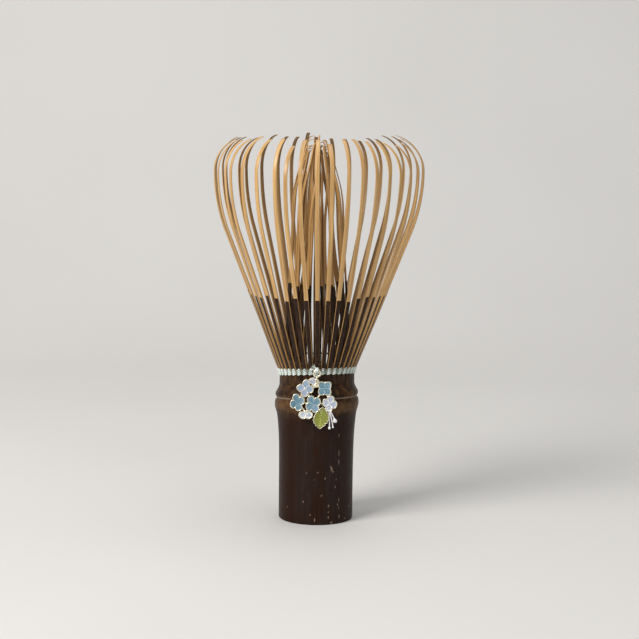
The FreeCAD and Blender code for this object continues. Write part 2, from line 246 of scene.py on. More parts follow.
class Nodes:
    """A short way to build a material's node tree."""

    def __init__(self, name):
        self.material = bpy.data.materials.new(name)
        self.material.use_nodes = True
        self.tree = self.material.node_tree
        self.shader = self.tree.nodes["Principled BSDF"]

    def add(self, kind, settings=None, **inputs):
        node = self.tree.nodes.new(f"ShaderNode{kind}")
        for key, value in (settings or {}).items():
            setattr(node, key, value)
        for key, value in inputs.items():
            self.feed(node.inputs[key.replace("_", " ")], value)
        return node

    def feed(self, socket, value):
        if isinstance(value, bpy.types.NodeSocket):
            self.tree.links.new(value, socket)
        else:
            socket.default_value = value

    def place(self, source, scale):
        """Coordinates from a named attribute, or the object's own in millimetres, stretched by scale."""
        if source == "object":
            start = self.add("TexCoord").outputs["Object"]
            scale = [value / MM for value in scale]
        else:
            start = self.add("Attribute", {"attribute_name": source}).outputs["Vector"]
        return self.add("Mapping", Vector=start, Scale=scale).outputs["Vector"]

    def noise(self, source, scale, detail=4.0, roughness=0.55):
        where = self.place(source, scale)
        node = self.add("TexNoise", Vector=where, Scale=1.0, Detail=detail, Roughness=roughness)
        return node.outputs["Fac"]

    def tone(self):
        return self.add("Attribute", {"attribute_name": "tone"}).outputs["Fac"]

    def ramp(self, share, *stops):
        """Colours by share: stops are (position, colour)."""
        node = self.add("ValToRGB", Fac=share)
        while len(node.color_ramp.elements) < len(stops):
            node.color_ramp.elements.new(0.5)
        for element, (position, colour) in zip(node.color_ramp.elements, stops):
            element.position = position
            element.color = (*colour, 1.0)
        return node.outputs["Color"]

    def grey(self, share, *stops):
        """Shades of grey by share: stops are (position, value)."""
        return self.ramp(share, *((position, (value,) * 3) for position, value in stops))

    def zone(self, value, start, end):
        """0 up to start and 1 from end on, whichever of the two is larger."""
        node = self.add("MapRange", Value=value, From_Min=start, From_Max=end)
        return node.outputs["Result"]

    def blend(self, share, first, second, kind="MIX"):
        node = self.add("Mix", {"data_type": "RGBA", "blend_type": kind})
        for index, value in ((0, share), (6, first), (7, second)):
            if isinstance(value, tuple):
                value = (*value, 1.0)
            self.feed(node.inputs[index], value)
        return node.outputs[2]

    def math(self, operation, *values):
        node = self.add("Math", {"operation": operation})
        for socket, value in zip(node.inputs, values):
            self.feed(socket, value)
        return node.outputs[0]

    def bump(self, height, strength, distance):
        node = self.add("Bump", Height=height, Strength=strength, Distance=distance * MM)
        self.feed(self.shader.inputs["Normal"], node.outputs["Normal"])

    def finish(self, colour, **sockets):
        self.feed(self.shader.inputs["Base Color"], colour)
        for key, value in sockets.items():
            self.feed(self.shader.inputs[key.replace("_", " ")], value)
        return self.material


def flesh_material(name, dark, light, vessel):
    """Shaved bamboo: long pale fibres with darker vessels between them."""
    nodes = Nodes(name)
    broad = nodes.noise("grain", (1.6, 1.6, 0.035), 3.0)
    fibres = nodes.noise("grain", (9.0, 9.0, 0.09), 3.0)
    vessels = nodes.noise("grain", (14.0, 14.0, 0.5), 2.0)
    base = nodes.ramp(broad, (0.28, dark), (0.62, light))
    streaks = nodes.ramp(fibres, (0.35, (0.58, 0.50, 0.40)), (0.6, (1.0, 1.0, 1.0)))
    colour = nodes.blend(0.75, base, streaks, "MULTIPLY")
    spots = nodes.grey(vessels, (0.30, 1.0), (0.36, 0.0))
    colour = nodes.blend(nodes.math("MULTIPLY", spots, 0.4), colour, vessel)
    nodes.bump(fibres, 0.25, 0.05)
    rough = nodes.grey(broad, (0.2, 0.36), (0.8, 0.5))
    return nodes.finish(colour, Roughness=rough, Coat_Weight=0.12, Coat_Roughness=0.25)


def smoked_skin(name):
    """Smoked culm skin: near-black on the grip, with its left side painted redder, browner and mottled round
    the node.

    The tone attribute nears 1 where the skin is scuffed through, and in the node's groove.
    """
    nodes = Nodes(name)
    where = nodes.add("SeparateXYZ", Vector=nodes.place("object", (1.0, 1.0, 1.0))).outputs
    streak = nodes.noise("object", (1.1, 1.1, 0.03), 4.0)
    fine = nodes.noise("object", (7.0, 7.0, 0.12), 3.0)
    mottle = nodes.noise("object", (0.55, 0.55, 0.45), 6.0, 0.65)
    patches = nodes.noise("object", (0.30, 0.30, 0.10), 3.0, 0.5)
    grip = nodes.ramp(streak, (0.3, (0.0165, 0.0088, 0.0066)), (0.7, (0.030, 0.0165, 0.0125)))
    reddish = nodes.grey(patches, (0.42, 0.0), (0.62, 1.0))
    grip = nodes.blend(reddish, grip, (0.022, 0.0080, 0.0032))
    # Painted light: the grip's left side is painted redder, as the side that shows no greyish reflection.
    grip = nodes.blend(nodes.zone(where["X"], -5.0, -7.2), grip, (0.0200, 0.0060, 0.0022))
    node_tone = nodes.ramp(mottle, (0.34, (0.009, 0.0042, 0.0022)), (0.50, (0.040, 0.0190, 0.0080)),
                           (0.70, (0.130, 0.0660, 0.0250)))
    on_ridge = nodes.math("MULTIPLY", nodes.zone(where["Z"], 33.2, 34.4), nodes.zone(where["Z"], 37.6, 36.2))
    node_tone = nodes.blend(nodes.math("MULTIPLY", on_ridge, 0.45), node_tone, (0.150, 0.0800, 0.0330))
    splint = nodes.ramp(streak, (0.3, (0.016, 0.0085, 0.0055)), (0.7, (0.046, 0.0250, 0.0155)))
    colour = nodes.blend(nodes.zone(where["Z"], 31.0, 34.5), grip, node_tone)
    colour = nodes.blend(nodes.zone(where["Z"], 42.0, 47.0), colour, splint)
    lines = nodes.ramp(fine, (0.35, (0.62, 0.58, 0.56)), (0.65, (1.15, 1.1, 1.05)))
    colour = nodes.blend(0.7, colour, lines, "MULTIPLY")
    ragged = nodes.math("MULTIPLY", nodes.tone(), nodes.grey(fine, (0.35, 0.35), (0.55, 1.0)))
    colour = nodes.blend(ragged, colour, (0.36, 0.26, 0.185))
    rough = nodes.blend(ragged, nodes.grey(mottle, (0.3, 0.36), (0.7, 0.50)), (0.7, 0.7, 0.7))
    nodes.bump(fine, 0.35, 0.06)
    return nodes.finish(colour, Roughness=rough, Specular_IOR_Level=0.10, Coat_Weight=0.03,
                        Coat_Roughness=0.22)


def thread_material():
    """Pale aqua-white thread, with painted shade in darker green where the tone attribute is high, between
    the tines.
    """
    nodes = Nodes("pale_thread")
    fuzz = nodes.noise("object", (9.0, 9.0, 9.0), 5.0, 0.7)
    hue = nodes.noise("object", (0.9, 0.9, 0.9), 2.0)
    base = nodes.ramp(hue, (0.36, (0.66, 0.80, 0.74)), (0.60, (0.90, 0.91, 0.88)))
    shade = nodes.ramp(fuzz, (0.3, (0.72, 0.76, 0.73)), (0.6, (1.0, 1.0, 1.0)))
    colour = nodes.blend(0.8, base, shade, "MULTIPLY")
    # Painted shade: darker green where the tone attribute is high.
    colour = nodes.blend(nodes.tone(), colour, (0.16, 0.23, 0.185))
    nodes.bump(fuzz, 0.3, 0.04)
    return nodes.finish(colour, Roughness=0.75, Sheen_Weight=0.3, Sheen_Roughness=0.4)


def gold_material():
    """Pale gold plate, a little paler in random patches."""
    nodes = Nodes("gold_plate")
    pale_patches = nodes.noise("object", (2.2, 2.2, 2.2), 4.0)
    colour = nodes.ramp(pale_patches, (0.3, (0.82, 0.75, 0.52)), (0.7, (0.97, 0.94, 0.83)))
    rough = nodes.grey(pale_patches, (0.3, 0.22), (0.7, 0.38))
    nodes.bump(nodes.noise("object", (12.0, 12.0, 12.0), 2.0), 0.12, 0.02)
    return nodes.finish(colour, Metallic=1.0, Roughness=rough)


def enamel_material(name, *stops):
    """Glossy enamel whose colour follows the tone attribute, a little cloudy inside."""
    nodes = Nodes(name)
    cloud = nodes.noise("object", (1.6, 1.6, 1.6), 4.0)
    cloud = nodes.math("MULTIPLY", nodes.math("SUBTRACT", cloud, 0.5), 0.8)
    colour = nodes.ramp(nodes.math("ADD", nodes.tone(), cloud), *stops)
    rough = nodes.grey(cloud, (0.0, 0.12), (0.2, 0.2))
    return nodes.finish(colour, Roughness=rough, Coat_Weight=0.6, Coat_Roughness=0.05, IOR=1.52)


# ---- splints

def travel(lean, turn, length, share):
    """How far out and up a stretch goes over a share of its length, leaning by lean at its start."""
    if not turn:
        run = length * share
        return run * math.sin(lean), run * math.cos(lean)
    bend, now = length / turn, lean + turn * share
    return bend * (math.cos(lean) - math.cos(now)), bend * (math.sin(now) - math.sin(lean))


def splint_stations(radius, height, stretches, thicknesses, extra):
    """Stations up a splint's skin: (radius, height, lean, along, thickness).

    Stations are closer together where the splint turns, and there is one at each length in extra too.
    """
    stations = []
    lean = 0.0
    along = 0.0
    for number, (kind, *sizes) in enumerate(stretches):
        turn = 0.0 if kind == "rise" else math.radians(sizes[1]) * (1 if kind == "out" else -1)
        length = sizes[0] if kind == "rise" else sizes[0] * abs(turn)
        steps = max(3, int(length / 1.6), int(abs(turn) / 0.07))
        marks = [step / steps for step in range(steps)]
        marks += [(mark - along) / length for mark in extra if along < mark < along + length]
        if number == len(stretches) - 1:
            marks.append(1.0)
        for share in sorted(marks):
            out, up = travel(lean, turn, length, share)
            thickness = mix(thicknesses[number], thicknesses[number + 1], share)
            stations.append((radius + out, height + up, lean + turn * share, along + length * share,
                             thickness))
        out, up = travel(lean, turn, length, 1.0)
        radius += out
        height += up
        lean += turn
        along += length
    return stations


def splint_section(half, thickness, crown, round_off):
    """A splint's cross-section as (across, out) pairs, from the skin's left edge round to it again."""
    soft = min(round_off, thickness * 0.4, half * 0.4)
    near = soft * 0.3
    right = [(half - soft, -crown), (half - near, -crown - near), (half, -crown - soft),
             (half, soft - thickness), (half - near, near - thickness), (half - soft, -thickness)]
    left = [(-across, out) for across, out in reversed(right)]
    top = [(-half * 0.45, -crown * 0.2), (0.0, 0.0), (half * 0.45, -crown * 0.2)]
    return top + right + [(0.0, -thickness)] + left


# The section's points, the edges after them that carry skin or pith, and each material's slot.
SECTION_SIZE = 16
SKIN_EDGES = (0, 1, 2, 3, 14, 15)
PITH_EDGES = (7, 8, 9, 10)
FLESH, SKIN, PITH = 0, 1, 2


def add_splint(shape, stations, azimuth, width, sway, seed, skin_length, shave, shaded_sides=False):
    """Add one splint to a shape: flesh at its sides, pith inside, skin outside up to skin_length, and painted
    shade all round near its root.

    width and sway give the width and the azimuth's change at a length along the splint. shave is how
    far the flesh lies below the skin beyond skin_length. The last argument, if true, paints shade on the
    sides as well, in the skin's dark colour.
    """
    points, grain, slots = [], [], []
    offset = seed * 7.31
    for radius, height, lean, along, thickness in stations:
        share = along / stations[-1][3]
        wobble = noise.noise(Vector((offset, along * 0.09, 0.0)))
        half = width(along) / 2 * (1 + 0.05 * wobble)
        cut = shave * smoothstep(skin_length, skin_length + 0.5, along)
        turn = azimuth + sway(along)
        radius -= pinch(height)
        out = Vector((math.cos(turn), math.sin(turn), 0))
        across = Vector((-math.sin(turn), math.cos(turn), 0))
        skin_normal = out * math.cos(lean) - Vector((0, 0, math.sin(lean)))
        twist = 0.06 * wobble * share
        middle = out * radius + Vector((0, 0, height + node_lift(out.x * radius, out.y * radius, height)))
        for side, depth in splint_section(half, max(thickness - cut, 0.16), 0.035, 0.11):
            deep = depth - cut + side * twist
            points.append(tuple(middle + across * side + skin_normal * deep))
            grain.append((side + offset, deep, along))
    rings = len(stations)
    faces = skin_rings(rings, SECTION_SIZE)
    for ring in range(rings - 1):
        skinned = stations[ring][3] < skin_length - 1e-6
        for step in range(SECTION_SIZE):
            if step in PITH_EDGES:
                slots.append(PITH)
            else:
                # Painted shade: every side near the root, and the sides of shaded splints, take the skin's
                # dark colour.
                skin_and_shade = shaded_sides or step in SKIN_EDGES or stations[ring][3] < ROOT_SHADE_LENGTH
                slots.append(SKIN if skinned and skin_and_shade else FLESH)
    shape.add(points, faces, slots + [FLESH, FLESH], grain)


# The front tine and those to its left and right, nearest first: sideways drift in degrees, extra height.
FRONT_TINE = (-0.8, -0.3)
LEFT_TINES = ((-0.8, -0.3), (0.0, -1.3), (3.5, 0.5), (1.5, 0.4), (0.4, 0.2), (-0.7, 0.0), (3.0, 0.2),
              (1.0, 0.0), (-2.0, 0.1))
RIGHT_TINES = ((-2.0, -1.1), (-2.4, 0.6), (-3.6, 0.4), (-4.2, 0.0), (-4.6, -0.2), (-5.0, -0.4), (-4.6, -0.3),
               (-4.0, 0.0), (-2.0, 0.0))


def tine_stance(number, chance):
    """How far in radians a tine's upper part stands to one side of its root, and its extra height."""
    left = len(TINES) - number
    if number == 0:
        drift, taller = FRONT_TINE
    elif number <= len(RIGHT_TINES):
        drift, taller = RIGHT_TINES[number - 1]
    elif left <= len(LEFT_TINES):
        drift, taller = LEFT_TINES[left - 1]
    else:
        drift, taller = chance.uniform(-2.6, 2.6), chance.uniform(-0.6, 0.3)
    return math.radians(drift), taller


def outer_width(along):
    """An outer tine's width, which is largest at its root and eases off towards its tip."""
    return TINE_WIDTH + 0.36 * (1 - smoothstep(1.5, 7.0, along)) - 0.10 * smoothstep(45.0, 78.0, along)


def inner_width(along):
    """An inner tine's width: narrow between the outer tines' roots, then wider, then finer to its tip."""
    return (0.33 + 0.52 * smoothstep(4.0, 10.0, along) - 0.14 * smoothstep(24.0, 40.0, along)
            - 0.22 * smoothstep(52.0, 74.0, along))


def make_outer_tines(flesh, skin, pith):
    """The forty splayed tines, each a piece of its own."""
    chance = random.Random(11)
    for number, node in enumerate(TINES):
        drift, taller = tine_stance(number, chance)
        curl = chance.uniform(-8.0, 8.0)
        skin_length = SKIN_LENGTH + chance.uniform(-0.6, 0.6) + 0.5 * (1 - math.cos(number * STEP_ANGLE))
        *start, (_, flare), shoulder, (_, bend, angle) = OUTER_STRETCHES
        stretches = (*start, ("rise", flare + taller), shoulder,
                     ("in", bend * chance.uniform(0.90, 1.02), angle + curl))
        stations = splint_stations(ROOT_RADIUS, SLIT_HEIGHT, stretches, OUTER_THICKNESSES,
                                   (skin_length, skin_length + 0.25, skin_length + 0.5))
        shape = Shape()
        add_splint(shape, stations, FRONT + number * STEP_ANGLE, outer_width,
                   lambda along: drift * smoothstep(8.0, 62.0, along), number + 1, skin_length, 0.06)
        shape.settle(f"splint_{node}", [flesh, skin, pith], "root", node)


def make_inner_tines(flesh, skin, pith):
    """The gathered bundle of narrow tines. Some lean further in than others, and their tips are hooked."""
    chance = random.Random(23)
    shape = Shape()
    for number in range(len(TINES)):
        *start, (_, shaft), (_, crown, turn), (_, tip) = INNER_STRETCHES
        stretches = (*start, ("rise", shaft + chance.uniform(-2.0, 2.0)),
                     ("in", crown, turn + chance.uniform(-2.0, 2.5)),
                     ("rise", tip + chance.uniform(-1.5, 0.6)),
                     ("in", chance.uniform(1.1, 2.1), chance.uniform(70.0, 150.0)))
        skin_length = SKIN_LENGTH + chance.uniform(0.2, 2.2)
        inwards = chance.choice((0.0, 0.08, 0.28, 0.45)) + chance.uniform(-0.03, 0.06)
        stations = []
        for radius, height, *rest in splint_stations(INNER_ROOT_RADIUS, SLIT_HEIGHT, stretches,
                                                     INNER_THICKNESSES, (skin_length, skin_length + 0.25)):
            flush = 0.22 * (1 - smoothstep(43.0, 46.5, height))
            gathered = 1 - inwards * smoothstep(50.0, 92.0, height)
            stations.append((radius * gathered + flush, height, *rest))
        drift = math.radians(chance.uniform(-7.0, 7.0))
        late = math.radians(chance.uniform(-22.0, 22.0))
        # The inner tines' sides get painted shade, in the skin's dark colour.
        add_splint(shape, stations, FRONT + (number + 0.5) * STEP_ANGLE, inner_width,
                   lambda along: drift * smoothstep(6.0, 40.0, along) + late * smoothstep(45.0, 74.0, along),
                   100 + number, skin_length, 0.04, shaded_sides=True)
    shape.settle("inner_tine_bundle", [flesh, skin, pith], "root", "inner_tines")


# ---- handle

# Outer outline of the culm as (height, radius), joined by a smooth curve.
CULM_OUTLINE = ((0.35, 11.2), (9.0, 11.2), (18.0, 11.22), (25.0, 11.36), (30.0, 11.70), (32.4, 12.02),
                (33.3, 12.30), (34.4, 12.55), (35.4, 12.62), (36.3, 12.52), (36.75, 12.30), (37.0, 12.02),
                (37.2, 11.98), (37.4, 12.16), (37.8, 12.36), (38.5, 12.38), (39.2, 12.10), (40.1, 11.58),
                (SLIT_HEIGHT, ROOT_RADIUS))
FOOT_EDGE = ((0.0, 10.95), (0.1, 11.08))
BORE_RADIUS = 7.3
BORE_DEPTH = 33.0
SEPTUM_TOP = 35.0
CUP_RADIUS = 9.8
# The inside as (height, radius): the cup under the tines, the septum with its pinhole, and the bore's end.
CULM_INSIDE = ((SLIT_HEIGHT, CUP_RADIUS), (38.0, 9.3), (SEPTUM_TOP, 8.8), (SEPTUM_TOP - 0.3, 4.0),
               (SEPTUM_TOP - 0.4, 0.6), (BORE_DEPTH + 0.3, 0.6), (BORE_DEPTH, 5.5),
               (BORE_DEPTH - 0.6, BORE_RADIUS - 0.2))
CULM_SIDES = 300
# The pale groove between the node's two ridges: its height and half its width.
GROOVE = (37.25, 0.20)
# A small chip in the foot's edge: degrees from the front, depth, reach in radians, and heights it fades over.
CHIP = (25, 0.35, 0.045, 0.2, 0.7)
# Scuffs on the grip: degrees from the front, height, half length along the culm, and half width round it,
# which counts for a radius of SCUFF_RADIUS.
SCUFFS = ((25, 16.9, 0.75, 0.34), (23, 17.6, 0.30, 0.25), (27, 16.1, 0.25, 0.30), (37, 21.3, 0.9, 0.16),
          (37, 18.8, 0.9, 0.16), (36, 26.2, 0.5, 0.14), (31, 11.4, 0.45, 0.18), (33, 13.6, 0.35, 0.16),
          (38, 7.3, 0.8, 0.16), (38, 4.9, 0.6, 0.15), (39, 2.2, 0.8, 0.18), (36, 5.9, 0.35, 0.14),
          (20, 5.8, 0.5, 0.20), (20, 3.9, 0.3, 0.20), (20, 2.3, 0.5, 0.22), (14, 14.2, 0.40, 0.20),
          (3, 16.0, 0.35, 0.18), (-14, 15.8, 0.28, 0.18), (-3, 13.9, 0.25, 0.15), (9, 9.0, 0.45, 0.18),
          (63, 4.5, 0.4, 0.2), (-1, 1.6, 0.6, 0.2), (-8, 3.1, 0.3, 0.2), (-49, 4.6, 0.25, 0.2),
          (-19, 7.0, 0.35, 0.15), (25, 0.6, 0.35, 0.5), (52, 1.2, 0.3, 0.3), (112, 9.0, 0.5, 0.2),
          (140, 4.0, 0.6, 0.2), (-120, 12.0, 0.5, 0.2), (-155, 3.0, 0.5, 0.25), (168, 20.0, 0.6, 0.18),
          (-95, 22.0, 0.4, 0.15), (95, 2.0, 0.5, 0.25))
SCUFF_RADIUS = 16.0


def smooth_outline(knots, step):
    """Points along a smooth curve through (height, radius) knots."""
    points = []
    for index in range(len(knots) - 1):
        before = knots[max(index - 1, 0)]
        start, end = knots[index], knots[index + 1]
        after = knots[min(index + 2, len(knots) - 1)]
        span = end[0] - start[0]
        slope_in = (end[1] - before[1]) / (end[0] - before[0]) * span
        slope_out = (after[1] - start[1]) / (after[0] - start[0]) * span
        count = max(1, round(span / step))
        for part in range(count):
            share = part / count
            square, cube = share * share, share ** 3
            radius = ((2 * cube - 3 * square + 1) * start[1] + (cube - 2 * square + share) * slope_in
                      + (3 * square - 2 * cube) * end[1] + (cube - square) * slope_out)
            points.append((start[0] + span * share, radius))
    points.append(knots[-1])
    return points


def scuff_at(angle, height):
    """How worn the skin is at a place on the grip, 0 to 1."""
    worn = 0.0
    for degrees, middle, half_length, half_width in SCUFFS:
        away = angle_apart(angle - FRONT, math.radians(degrees)) * SCUFF_RADIUS / half_width
        along = abs(height - middle) / (0.8 * half_length)
        if away < 1.6 and along < 1.6:
            worn = max(worn, 1 - smoothstep(0.55, 1.45, math.hypot(away, along)))
    return worn


def make_handle(skin, flesh):
    """The culm handle: a slightly uneven tube with its node ridges, a hollow foot and the node's septum."""
    rows = [(*row, 1) for row in (*FOOT_EDGE, *smooth_outline(CULM_OUTLINE, 0.22))]
    rows += [(*row, 0) for row in CULM_INSIDE]
    rows += [(BORE_DEPTH - 1.5 - 3.0 * step, BORE_RADIUS, 0) for step in range(10)]
    rows += [(0.5, BORE_RADIUS, 0), (0.0, BORE_RADIUS + 0.25, 0)]
    points, grain, tone, slots = [], [], [], []
    chip_turn, chip_depth, chip_reach, chip_low, chip_high = CHIP
    chip_angle = FRONT + math.radians(chip_turn)
    for height, radius, outside in rows:
        near_node = smoothstep(31.0, 35.0, height) * (1 - smoothstep(39.5, 41.0, height))
        for side in range(CULM_SIDES):
            angle = math.tau * side / CULM_SIDES
            around = Vector((math.cos(angle), math.sin(angle), 0))
            uneven = noise.noise(around * 1.3 + Vector((0, 0, height * 0.05)))
            now = radius
            worn = scuff_at(angle, height) if outside else 0.0
            if outside:
                rough = noise.noise(around * 9 + Vector((0, 0, height * 0.9)))
                now += 0.06 * uneven * smoothstep(0.5, 6.0, height) + 0.06 * rough * near_node - 0.03 * worn
                chipped = 1 - smoothstep(0.0, chip_reach, angle_apart(angle, chip_angle))
                now -= chip_depth * chipped * (1 - smoothstep(chip_low, chip_high, height))
            elif radius > BORE_RADIUS / 2:
                now += 0.05 * uneven
            ripple = 0.14 * near_node * noise.noise(around * 1.7 + Vector((0, 0, 5.0)))
            spot = around * now
            lift = node_lift(spot.x, spot.y, height) if height > 0 else 0.0
            points.append((spot.x, spot.y, height + lift + ripple))
            grain.append((spot.x, spot.y, height))
            groove = math.exp(-((height - GROOVE[0]) / GROOVE[1]) ** 2) if outside else 0.0
            tone.append(max(0.75 * worn, 0.9 * groove))
    faces = skin_rings(len(rows), CULM_SIDES, closed_path=True)
    for row in range(len(rows)):
        slots += [rows[row][2] & rows[(row + 1) % len(rows)][2]] * CULM_SIDES
    shape = Shape()
    shape.add(points, faces, slots, grain, tone)
    shape.settle("culm_handle", [flesh, skin], "root", "handle")


# ---- threads

def band_point(angle, level):
    """The middle of a strand at an angle round the band, level above its middle line.

    It rises over each tine, and dips and gathers between them.
    """
    over = over_tine(angle) ** 0.8
    slant = 0.16 * math.sin(len(TINES) * (angle - FRONT) + 0.6)
    height = BINDING_MIDDLE + level * mix(0.66, 1.06, over) + slant
    radius = skin_radius(height) + mix(-0.16, 0.20, over)
    x, y = radius * math.cos(angle), radius * math.sin(angle)
    return x, y, height + node_lift(x, y, height) + BINDING_TILT[0] * x + BINDING_TILT[1] * y


def add_plies(shape, route, twist_length, ply_radius, ply_offset, sides=7, spacing=0.1):
    """Two plies twisted round each other along route(share), which gives a point at a share from 0 to 1."""
    samples = 1200
    line = [Vector(route(index / samples)) for index in range(samples + 1)]
    lengths = [0.0]
    for index in range(samples):
        lengths.append(lengths[-1] + (line[index + 1] - line[index]).length)
    total = lengths[-1]
    count = max(6, int(total / spacing))
    middle, marker = [], 0
    for index in range(count + 1):
        target = total * index / count
        while marker < samples - 1 and lengths[marker + 1] < target:
            marker += 1
        part = (target - lengths[marker]) / max(lengths[marker + 1] - lengths[marker], 1e-9)
        middle.append(line[marker].lerp(line[marker + 1], part))
    for ply in range(2):
        path = []
        for index, (point, normal, across) in enumerate(walk(middle)):
            turn = math.tau * (total * index / count) / twist_length + math.pi * ply
            path.append(point + (normal * math.cos(turn) + across * math.sin(turn)) * ply_offset)
        shape.add(*tube(path, ply_radius, sides))


def make_threads(thread):
    """The binding with its strands dipping between the tines, and the hidden course inside."""
    shape = Shape()
    for strand in range(BINDING_TURNS):
        level = (strand - (BINDING_TURNS - 1) / 2) * STRAND_PITCH

        def route(share, level=level, phase=strand * 0.17):
            return band_point(FRONT + phase + math.tau * share * STRAND_SHARE, level)

        add_plies(shape, route, PLY_TWIST, PLY_RADIUS, PLY_OFFSET)
    # Painted shade: the tone is high in the dips between the tines, where the thread material darkens it to
    # green.
    shape.tone = [0.8 * (1 - smoothstep(0.05, 0.5, over_tine(math.atan2(y, x)))) for x, y, _ in shape.points]
    shape.settle("thread_binding", [thread], "root", "binding_thread")

    hidden = Shape()
    for height in SEPARATOR_HEIGHTS:
        def route(share, height=height):
            angle = FRONT + math.tau * share * STRAND_SHARE
            radius = SEPARATOR_RADIUS + 0.08 * math.cos(len(TINES) * (angle - FRONT))
            return radius * math.cos(angle), radius * math.sin(angle), height

        add_plies(hidden, route, 1.2, 0.085, 0.075, 6, 0.16)
    # The hidden separator thread is painted with the thread's full shade.
    hidden.tone = [1.0] * len(hidden.points)
    hidden.settle("thread_separator", [thread], "root", "separator_thread")


KNOT_FRONT = -12.80
KNOT_HEIGHT = 46.85
# The knot's crossed turns as (lean in radians, half width), and the loops that hold the ring: how far they
# stand aside, their height, and their reach back to front and up.
KNOT_TURNS = ((0.5, 0.74), (-0.25, 0.80), (1.2, 0.55), (-0.8, 0.62))
LOOPS_ASIDE = (-0.30, -0.10, 0.10, 0.30)
LOOP_HEIGHT = 47.30
LOOP_REACH = (0.74, 0.57)
# The frayed ends: where each starts from the knot's middle (x, z), its lean in radians, and how many threads
# it has. A thread's taper has one share of its radius for each of its points.
TUFTS = ((-0.30, 0.1, -1.20), (-0.10, 0.35, -0.62))
TUFT_THREADS = 14
TUFT_TAPER = (1, 1, 1, 0.95, 0.9, 0.8, 0.5)


def make_knot(thread):
    """The knot at the front: crossed turns of thread, the loops that hold the ring, and two frayed tufts."""
    chance = random.Random(5)
    shape = Shape()
    for lean, width in KNOT_TURNS:
        def route(share, lean=lean, width=width):
            angle = math.tau * share
            along = Vector((math.cos(lean), 0, math.sin(lean)))
            up = Vector((-math.sin(lean), 0, math.cos(lean)))
            spot = Vector((0, KNOT_FRONT, KNOT_HEIGHT)) + along * (width * math.cos(angle))
            spot += up * (width * 0.45 * math.sin(angle))
            return spot + Vector((0, 0.16 * math.sin(angle) * math.cos(angle) + 0.02, 0))

        add_plies(shape, route, 0.8, 0.115, 0.095, 6, 0.09)

    for aside in LOOPS_ASIDE:
        def loop(share, aside=aside):
            angle = math.tau * share
            return (aside, HANG_FRONT + 0.04 + LOOP_REACH[0] * math.cos(angle),
                    LOOP_HEIGHT - 0.2 * aside * aside + LOOP_REACH[1] * math.sin(angle))

        add_plies(shape, loop, 0.7, 0.105, 0.085, 6, 0.09)
    flare = math.tan(math.radians(FLARE_ANGLE))
    for x, up, lean in TUFTS:
        start = Vector((x, KNOT_FRONT, KNOT_HEIGHT + up))
        for _ in range(TUFT_THREADS):
            tilt = lean + chance.uniform(-0.25, 0.25)
            reach = chance.uniform(1.3, 1.95)
            forward = chance.uniform(-0.22, 0.06) - flare * math.cos(tilt)
            way = Vector((math.sin(tilt), forward, math.cos(tilt)))
            path = [start + way * (reach * part / 6) + Vector((0, 0, 0.10 * math.sin(part)))
                    for part in range(len(TUFT_TAPER))]
            shape.add(*tube(path, 0.07, 5, taper=TUFT_TAPER))
    shape.settle("thread_tie", [thread], "root", "thread_knot")


# ---- charm

# The casting's back and the front of its rims (y), and the eye at its top: its middle's height and radius.
CHARM_BACK = -12.97
CHARM_FRONT = -14.0
EYE_HEIGHT = 44.04
EYE_RADIUS = 0.5
# A flower's middle (x, z), its first petal's direction in degrees, the petals it shows, how far its front
# lies behind the others', its size, the depth of its notches and the power of their curve, how pointed each
# petal is, its enamel's tone, and its stretch in x and z.
Flower = namedtuple("Flower", "middle turn petals behind size notch power points tone stretch")
ALL = (0, 1, 2, 3)
FLOWERS = {
    "a": Flower((-3.35, 41.75), -8, ALL, 0.0, 2.18, 0.40, 2.6, (0.10, 0.30, 0.34, 0.05), 0.58, (1.02, 1.08)),
    "b": Flower((-0.82, 42.85), 97, (0,), 0.56, 2.30, 0.30, 2.6, (0.05,), 0.82, (1.15, 0.85)),
    "c": Flower((2.32, 41.85), 45, ALL, 0.05, 2.45, 0.33, 1.3, (0.10, 0.05, 0.05, 0.12), 0.22, (0.92, 0.98)),
    "d": Flower((-5.68, 37.60), 20, ALL, 0.12, 2.42, 0.42, 3.0, (0.06, 0.0, 0.10, 0.0), 0.18, (0.84, 1.04)),
    "e": Flower((-1.02, 37.15), 30, ALL, 0.0, 2.45, 0.42, 3.0, (0.05, 0.08, 0.0, 0.05), 0.28, (0.91, 1.06)),
    "f": Flower((3.85, 37.35), -12, ALL, 0.10, 2.32, 0.38, 3.0, (0.0, 0.06, 0.0, 0.06), 0.72, (0.89, 1.00)),
    "g": Flower((-3.20, 34.65), 46, (2, 3), 0.28, 2.25, 0.30, 3.0, (0.0, 0.0), 0.70, (1.00, 0.95)),
}
# Bars join the flowers in these pairs, and the top ones to the neck under the eye.
BARS = ("ae", "ad", "ce", "cf", "ef", "de", "dg", "eg")
NECK = (0.45, 42.3)
BAR_DEPTH = CHARM_BACK - 0.28
BAR_RADIUS = 0.25
FLOWER_SIDES = 120
FLOWER_CORE = 0.45
ENAMEL_RINGS = 16
BEADED = "a"
BEAD_TONE = 1.5


def flower_reach(flower, turn):
    """A flower's reach before its stretch, turn degrees from its first petal, and how near a fold that is."""
    best, fold = FLOWER_CORE, 0.0
    for petal, point in zip(flower.petals, flower.points):
        off = abs((turn - 90.0 * petal + 180.0) % 360.0 - 180.0)
        lobe = flower.size * (1 - flower.notch * min(off / 45.0, 1.0) ** flower.power)
        lobe += point * math.exp(-(off / 12.0) ** 2)
        lobe = mix(lobe, FLOWER_CORE, smoothstep(45.0, 72.0, off))
        if lobe > best:
            best, fold = lobe, smoothstep(30.0, 45.0, off)
    return best, fold


def flower_outline(flower, inset=0.0):
    """The flower's outline (x, z) and each direction's nearness to a fold between petals."""
    (x, z), (wide, tall) = flower.middle, flower.stretch
    outline, folds = [], []
    for index in range(FLOWER_SIDES):
        turn = 360.0 * index / FLOWER_SIDES
        reach, fold = flower_reach(flower, turn)
        reach -= inset
        angle = math.radians(flower.turn + turn)
        outline.append((x + wide * reach * math.cos(angle), z + tall * reach * math.sin(angle)))
        folds.append(fold)
    return outline, folds


